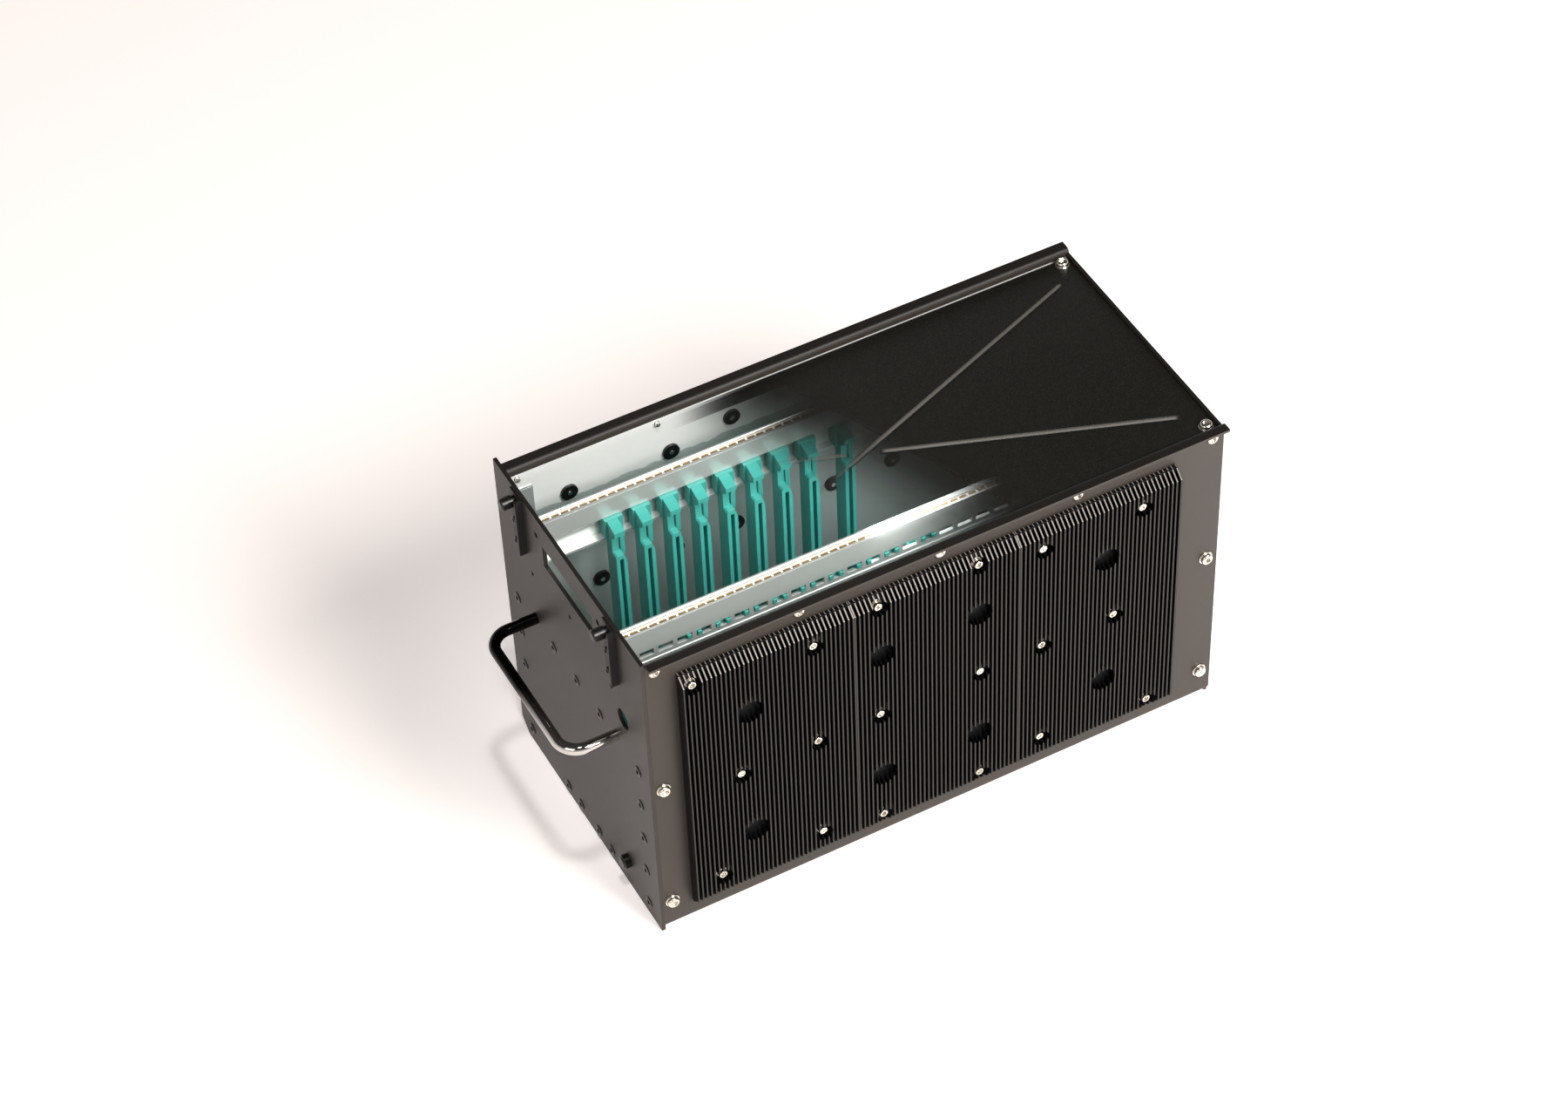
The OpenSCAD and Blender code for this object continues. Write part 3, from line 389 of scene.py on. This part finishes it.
MATS = {
    "painted_wall": wall_coat_and_zinc(),
    "painted_panel": panel_coat(),
    "painted_cover": cover_coat_cut_away(),
    "black_anodised": anodised_fins(),
    # Turned stainless steel: small warm glints on the heads
    "bright_hardware": metal("bright_steel_fasteners", "#d8d2c8", 0.22),
    # Blackened steel: dull black with a soft highlight
    "black_hardware": metal("blackened_steel_fasteners", "#0d0c0b", 0.32, 0.2),
    "black_chrome": black_chrome(),
    "black_bracket": bracket_coat(),
    "rail_aluminium": rail_extrusion(),
    "yellow_zinc": yellow_strip(),
    "green_plastic": moulded_green(),
    # Bright zinc plate: pale grey with blurred reflections
    "zinc_steel": metal("bright_zinc_sheet", "#b4bab8", 0.35, 0.6),
}


def paint(obj, key):
    """Gives a piece the finish of a slot and no other."""
    obj.data.materials.clear()
    obj.data.materials.append(MATS[key])


SLOTS = {p["node"]: p["material_slot"] for p in frame["record"]["subparts"]}
for name, obj in NODES.items():
    paint(obj, SLOTS[name])


# ---- shapes ----

# Vertices are told apart to a thousandth of a millimetre
PER_MM = 1000
# Each screw's head is turned by this much more than the one before, in radians
HEAD_TURN = 2.4


def solids(name):
    """Low and high corners of each solid of a CAD node, told apart by the places of its vertices."""
    mesh = NODES[name].data
    keys = [tuple(round(c / MM * PER_MM) for c in v.co) for v in mesh.vertices]
    group = {key: key for key in keys}

    def root(key):
        while group[key] != key:
            group[key] = group[group[key]]
            key = group[key]
        return key

    for poly in mesh.polygons:
        first = root(keys[poly.vertices[0]])
        for i in poly.vertices[1:]:
            group[root(keys[i])] = first
    ends = {}
    for key in group:
        low, high = ends.setdefault(root(key), (list(key), list(key)))
        for a in range(3):
            low[a] = min(low[a], key[a])
            high[a] = max(high[a], key[a])
    return [(Vector(low) * MM / PER_MM, Vector(high) * MM / PER_MM) for low, high in ends.values()]


def new_object(name, verts, faces, crease=32):
    """Object from a mesh in millimetres, smooth but for edges sharper than the crease in degrees."""
    mesh = bpy.data.meshes.new(name)
    mesh.from_pydata([tuple(c * MM for c in v) for v in verts], [], faces)
    mesh.shade_smooth()
    mesh.set_sharp_from_angle(angle=math.radians(crease))
    obj = bpy.data.objects.new(name, mesh)
    SCENE.collection.objects.link(obj)
    return obj


def lathe(name, rings, closed_ring=False, steps=36):
    """Turned body about Z from rings of (radius, height), or (radius, height, True) for six sides. It has
    a cap at both ends, or a closed ring joins its last ring to its first."""
    verts, faces = [], []
    for ring in rings:
        for i in range(steps):
            turn = 2 * math.pi * i / steps
            radius = ring[0]
            if len(ring) > 2:
                radius /= math.cos((turn + math.pi / 6) % (math.pi / 3) - math.pi / 6)
            verts.append((radius * math.cos(turn), radius * math.sin(turn), ring[1]))
    count = len(rings)
    for k in range(count if closed_ring else count - 1):
        for i in range(steps):
            j, up = (i + 1) % steps, (k + 1) % count
            faces.append((k * steps + i, k * steps + j, up * steps + j, up * steps + i))
    if not closed_ring:
        faces.append(tuple(reversed(range(steps))))
        faces.append(tuple((count - 1) * steps + i for i in range(steps)))
    return new_object(name, verts, faces)


def scatter_tree():
    """Puts a template on every point, turned by the point's stored angles, and gives it its finish."""
    tree = bpy.data.node_groups.new("scatter", "GeometryNodeTree")
    face = tree.interface
    face.new_socket("Geometry", in_out="INPUT", socket_type="NodeSocketGeometry")
    face.new_socket("Template", in_out="INPUT", socket_type="NodeSocketObject")
    face.new_socket("Finish", in_out="INPUT", socket_type="NodeSocketMaterial")
    face.new_socket("Geometry", in_out="OUTPUT", socket_type="NodeSocketGeometry")
    start = add(tree, "NodeGroupInput")
    template = add(tree, "GeometryNodeObjectInfo", {"Object": start["Template"]})["Geometry"]
    angles = add(tree, "GeometryNodeInputNamedAttribute", {"Name": "turn"}, data_type="FLOAT_VECTOR")
    turn = add(tree, "FunctionNodeEulerToRotation", {"Euler": angles["Attribute"]})[0]
    placed = add(tree, "GeometryNodeInstanceOnPoints",
                 {"Points": start["Geometry"], "Instance": template, "Rotation": turn})[0]
    real = add(tree, "GeometryNodeRealizeInstances", {"Geometry": placed})[0]
    done = add(tree, "GeometryNodeSetMaterial", {"Geometry": real, "Material": start["Finish"]})[0]
    add(tree, "NodeGroupOutput", {"Geometry": done})
    return tree


SCATTER = scatter_tree()


def scatter(node, template, places, key):
    """Repeats a template at (place, turn) pairs as one plain mesh that stands for a CAD node."""
    name = node + "_turned"
    points = bpy.data.meshes.new(name)
    points.from_pydata([place for place, turn in places], [], [])
    turns = points.attributes.new("turn", "FLOAT_VECTOR", "POINT")
    turns.data.foreach_set("vector", [c for place, turn in places for c in turn.to_euler()])
    obj = bpy.data.objects.new(name, points)
    SCENE.collection.objects.link(obj)
    mod = obj.modifiers.new("scatter", "NODES")
    mod.node_group = SCATTER
    sockets = {item.name: item.identifier for item in SCATTER.interface.items_tree}
    mod[sockets["Template"]] = template
    mod[sockets["Finish"]] = MATS[key]
    graph = bpy.context.evaluated_depsgraph_get()
    mesh = bpy.data.meshes.new_from_object(obj.evaluated_get(graph), depsgraph=graph)
    obj.modifiers.clear()
    obj.data = mesh
    bpy.data.objects.remove(template)
    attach(obj, "root")
    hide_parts(node)


# ---- screws and washers ----

def facing(way, spin):
    """Turn that takes +Z to this way after a spin about itself."""
    return Vector(way).to_track_quat("Z", "Y").to_matrix() @ Matrix.Rotation(spin, 3, "Z")


def seats(node, way, back):
    """Seats of a node's screws or washers: the middle of each solid, this far back from its outer end.
    Where no way is given, they look out of their own wall."""
    out = []
    for k, (low, high) in enumerate(solids(node)):
        middle = (low + high) / 2
        look = Vector(way) if way else Vector((0, 1 if middle.y > 0 else -1, 0))
        i = max(range(3), key=lambda n: abs(look[n]))
        middle[i] = (high[i] if look[i] > 0 else low[i]) - look[i] * back * MM
        out.append((middle, facing(look, HEAD_TURN * k)))
    return out


def domed_screws(node, way, key, shank, length, head, high, side, top, socket=0.24):
    """Domed heads with a hexagon socket, on their shanks. The dome runs from the share side of the
    head's height to the share top of its width, and the socket is a share of the head's width."""
    socket_floor, chamfer, steps = 0.4, 0.12, 5
    rings = [(shank / 2, -length), (shank / 2, 0), (head * 0.48, 0), (head / 2, high * 0.06)]
    rim, flat, start = head / 2, head * top / 2, high * side
    for k in range(steps + 1):
        a = math.pi / 2 * k / steps
        rings.append((flat + (rim - flat) * math.cos(a), start + (high - start) * math.sin(a)))
    rings += [(head * socket + chamfer, high, True), (head * socket, high - chamfer, True),
              (head * socket, high * socket_floor, True)]
    scatter(node, lathe("template", rings), seats(node, way, high), key)


def flush_screws(node, way, key):
    """Countersunk screws: a shank, a cone in the sheet and a low rounded face with a hexagon socket."""
    shank = [(1.5, -2), (1.5, -1.5)]
    face = [(3, 0), (3, 0.25), (2.7, 0.5), (2.1, 0.65)]
    socket = [(1.4, 0.7, True), (1.25, 0.6, True), (1.25, -0.8, True)]
    scatter(node, lathe("template", shank + face + socket), seats(node, way, 0), key)


def washers(node, way, key, outer, bore, high=0.6, soft=0.15):
    """Plain washers with softened edges."""
    o, i = outer / 2, bore / 2
    rings = [(i, high - soft), (i, soft), (i + soft, 0), (o - soft, 0),
             (o, soft), (o, high - soft), (o - soft, high), (i + soft, high)]
    scatter(node, lathe("template", rings, True), seats(node, way, high), key)


UP = (0, 0, 1)
FRONT = (-1, 0, 0)
domed_screws("wall_screws", None, "bright_hardware",
             shank=3.4, length=4.1, head=6.4, high=2.2, side=0.35, top=0.6)
domed_screws("cover_screws", UP, "bright_hardware",
             shank=3.4, length=7, head=6.4, high=2.2, side=0.35, top=0.6)
domed_screws("heat_sink_screws", None, "bright_hardware",
             shank=2.5, length=6, head=4.4, high=2.5, side=0.86, top=0.86, socket=0.27)
domed_screws("edge_screws", None, "bright_hardware",
             shank=2.5, length=3.3, head=6.2, high=1.6, side=0.12, top=0.4, socket=0.19)
domed_screws("lock_screws", FRONT, "black_hardware",
             shank=2.5, length=3, head=4.4, high=1.6, side=0.4, top=0.7)
flush_screws("panel_screws", FRONT, "black_hardware")
washers("wall_washers", None, "bright_hardware", outer=7.6, bore=3.8)
washers("cover_washers", UP, "bright_hardware", outer=7.6, bore=3.8)
washers("heat_sink_washers", None, "bright_hardware", outer=6, bore=2.9)


# ---- strips and cover ----

def strips():
    """Threaded strips as plain bars, whose pitch shows as ticks in the finish."""
    for node in ("upper_right_strip", "upper_left_strip", "lower_right_strip", "lower_left_strip"):
        low, high = (Vector(c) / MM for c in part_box(node))
        verts = [(x, y, z) for x in (low.x, high.x) for y in (low.y, high.y) for z in (low.z, high.z)]
        faces = [(0, 1, 3, 2), (4, 6, 7, 5), (0, 4, 5, 1), (2, 3, 7, 6), (0, 2, 6, 4), (1, 5, 7, 3)]
        obj = new_object(node + "_bar", verts, faces)
        paint(obj, "yellow_zinc")
        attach(obj, "root")
        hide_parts(node)


def add_bead(verts, faces, start, end, turn, top):
    """Long rounded ridge with run-out ends, sunk a little into the sheet."""
    wide, high, sunk, across, run_out = 1.7, 0.85, 0.3, 10, 8
    stations = [start - wide + 2 * wide * k / run_out for k in range(run_out + 1)]
    stations += [end - wide + 2 * wide * k / run_out for k in range(run_out + 1)]
    base = len(verts)
    for x in stations:
        run = min(x - start + wide, end + wide - x, 2 * wide) / (2 * wide)
        rise = high * (0.5 - 0.5 * math.cos(math.pi * run))
        for k in range(across + 1):
            y = wide * (2 * k / across - 1)
            ridge = rise * (0.5 + 0.5 * math.cos(math.pi * y / wide))
            z = top + ridge - (sunk if k in (0, across) else 0)
            verts.append((x * math.cos(turn) - y * math.sin(turn),
                          x * math.sin(turn) + y * math.cos(turn), z))
    row = across + 1
    for s in range(len(stations) - 1):
        for k in range(across):
            a = base + s * row + k
            faces.append((a, a + row, a + row + 1, a + 1))
        a = base + s * row
        faces.append((a, a + across, a + row + across, a + row))
    last = base + (len(stations) - 1) * row
    faces.append(tuple(base + k for k in range(row)))
    faces.append(tuple(last + k for k in reversed(range(row))))


def cover_sheet():
    """Cover as a folded tray with crossed beads pressed up from it. The second bead stops short of the
    first on either side of it."""
    bend, bend_steps, bead_gap = 2, 4, 9
    bead_end = Vector((HIGH[0] / MM - 18, 55))
    low, high = (Vector(c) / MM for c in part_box("top_cover"))
    top, half, sheet = COVER_TOP / MM, high.y, COVER_T / MM
    turns = [math.pi / 2 / bend_steps * k for k in range(bend_steps + 1)]
    outer = [(half - bend + bend * math.sin(a), top - bend + bend * math.cos(a)) for a in turns]
    right = outer + [(half, low.z), (half - sheet, low.z), (half - sheet, top - sheet)]
    ring = right + [(-y, z) for y, z in reversed(right)]
    count = len(ring)
    verts = [(x, y, z) for x in (low.x, high.x) for y, z in ring]
    faces = [tuple(reversed(range(count))), tuple(range(count, 2 * count))]
    faces += [(i, (i + 1) % count, (i + 1) % count + count, i + count) for i in range(count)]
    length, lean = bead_end.length, math.atan2(bead_end.y, bead_end.x)
    beads = ((-length, length, lean), (bead_gap, length, -lean), (-length, -bead_gap, -lean))
    for start, end, turn in beads:
        add_bead(verts, faces, start, end, turn, top)
    obj = new_object("cover_sheet", verts, faces, 40)
    paint(obj, "painted_cover")
    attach(obj, "root")
    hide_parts("top_cover")


strips()
cover_sheet()


# ---- studio ----

def floor():
    """Pale paper floor, lit a little from within so that it stays nearly white."""
    half, down = 6, -0.0002
    mesh = bpy.data.meshes.new("floor")
    corners = [(-half, -half, down), (half, -half, down), (half, half, down), (-half, half, down)]
    mesh.from_pydata(corners, [], [(0, 1, 2, 3)])
    sheet = bpy.data.objects.new("floor", mesh)
    SCENE.collection.objects.link(sheet)
    mat, tree = new_finish("pale_floor")
    mesh.materials.append(closed(mat, {"Base Color": linear("#f4f0ee"), "Roughness": 0.9,
                                       "Specular IOR Level": 0.1, "Emission Color": linear("#fff6f3"),
                                       "Emission Strength": 0.4}))


def room():
    """Bright paper round the horizon, dark room above it."""
    world = bpy.data.worlds.new("studio")
    world.use_nodes = True
    tree = world.node_tree
    tree.nodes.clear()
    height = add(tree, SPLIT, {0: add(tree, COORDS)["Generated"]})[2]
    glow = add(tree, RANGE, {0: height, 1: 0.2, 2: 0.55, 3: 0.9, 4: 0.06})[0]
    light = add(tree, "ShaderNodeBackground", {"Color": linear("#fbf7f3"), "Strength": glow})[0]
    add(tree, "ShaderNodeOutputWorld", {"Surface": light})
    SCENE.world = world


def lamp(name, data, place, aim, power):
    """Hangs a light at a place, turned towards its aim."""
    data.energy = power
    obj = bpy.data.objects.new(name, data)
    obj.location = place
    obj.rotation_euler = (Vector(aim) - Vector(place)).to_track_quat("-Z", "Y").to_euler()
    SCENE.collection.objects.link(obj)
    return obj


def soft_box(name, place, aim, size, power, tone):
    """Wide soft light that the camera doesn't see."""
    data = bpy.data.lights.new(name, "AREA")
    data.shape = "RECTANGLE"
    data.size, data.size_y = size
    data.color = linear(tone)[:3]
    lamp(name, data, place, aim, power).visible_camera = False


def spot(name, place, aim, angle, power):
    """Narrow light with a soft rim."""
    data = bpy.data.lights.new(name, "SPOT")
    data.spot_size, data.spot_blend = math.radians(angle), 1.0
    data.shadow_soft_size = 0.08
    lamp(name, data, place, aim, power)


floor()
room()
soft_box("key", place=(0.5, -1.3, 1.5), aim=(0, 0, 0.08), size=(0.8, 0.8), power=53, tone="#fffaf6")
spot("inside", place=(-0.24, -0.42, 1.7), aim=(-0.085, 0, 0.12), angle=12, power=60)
soft_box("under cover", place=(0.03, -0.03, 0.186), aim=(0.03, -0.04, 0), size=(0.1, 0.04),
         power=0.18, tone="#ffffff")
spot("rear floor", place=(0.75, -0.5, 0.9), aim=(0.34, -0.3, 0), angle=40, power=60)
soft_box("fill", place=(-1.5, -0.9, 1.3), aim=(0, 0, 0.08), size=(1, 1), power=9, tone="#fff6f0")
SCENE.view_settings.view_transform = "Standard"
